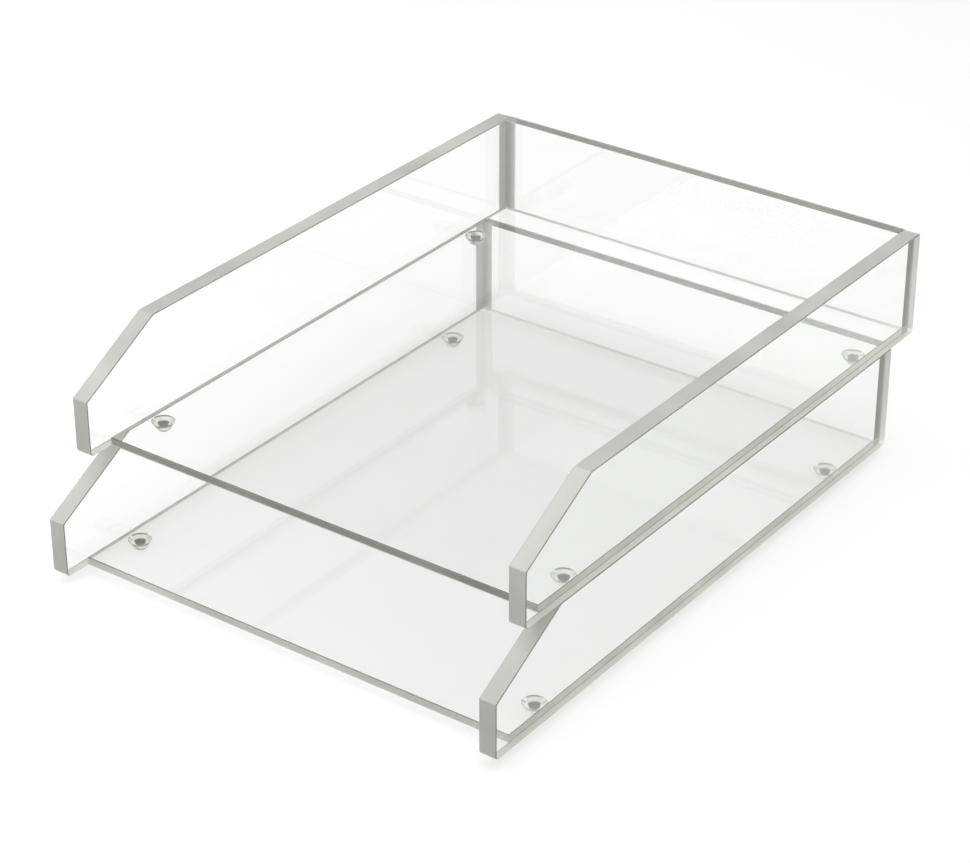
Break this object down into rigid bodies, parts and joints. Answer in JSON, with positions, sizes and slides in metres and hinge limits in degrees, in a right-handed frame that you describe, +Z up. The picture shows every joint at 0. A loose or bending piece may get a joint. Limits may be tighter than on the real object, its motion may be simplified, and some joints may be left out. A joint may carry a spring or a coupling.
{
  "type": "stacking letter tray",
  "caption": "Clear acrylic letter trays stacked one on the other: thick side panels with slanted front corners, thinner back and bottom sheets, and clear dome bumper feet.",
  "frame": {"origin": "on the surface that the stack stands on, at the middle of the stack's outline", "axes": "+X to the right across the trays, +Y from the open front to the back, +Z up"},
  "size_m": [0.2666, 0.3712, 0.1194],
  "materials": {
    "acrylic": "clear cast acrylic sheet with flame-polished edges",
    "bumper": "clear soft polyurethane"
  },
  "bodies": {
    "lower_tray": {"lower_bottom_plate": "acrylic", "lower_back_panel": "acrylic", "lower_left_side": "acrylic", "lower_right_side": "acrylic", "lower_bumper_front_left": "bumper", "lower_bumper_front_right": "bumper", "lower_bumper_back_left": "bumper", "lower_bumper_back_right": "bumper"},
    "upper_tray": {"upper_bottom_plate": "acrylic", "upper_back_panel": "acrylic", "upper_left_side": "acrylic", "upper_right_side": "acrylic", "upper_bumper_front_left": "bumper", "upper_bumper_front_right": "bumper", "upper_bumper_back_left": "bumper", "upper_bumper_back_right": "bumper"}
  },
  "joints": [
    {"name": "upper_tray_lift", "type": "slide", "parent": "lower_tray", "child": "upper_tray", "axis": [0, 0, 1], "range_m": [0, 0.08]}
  ]
}
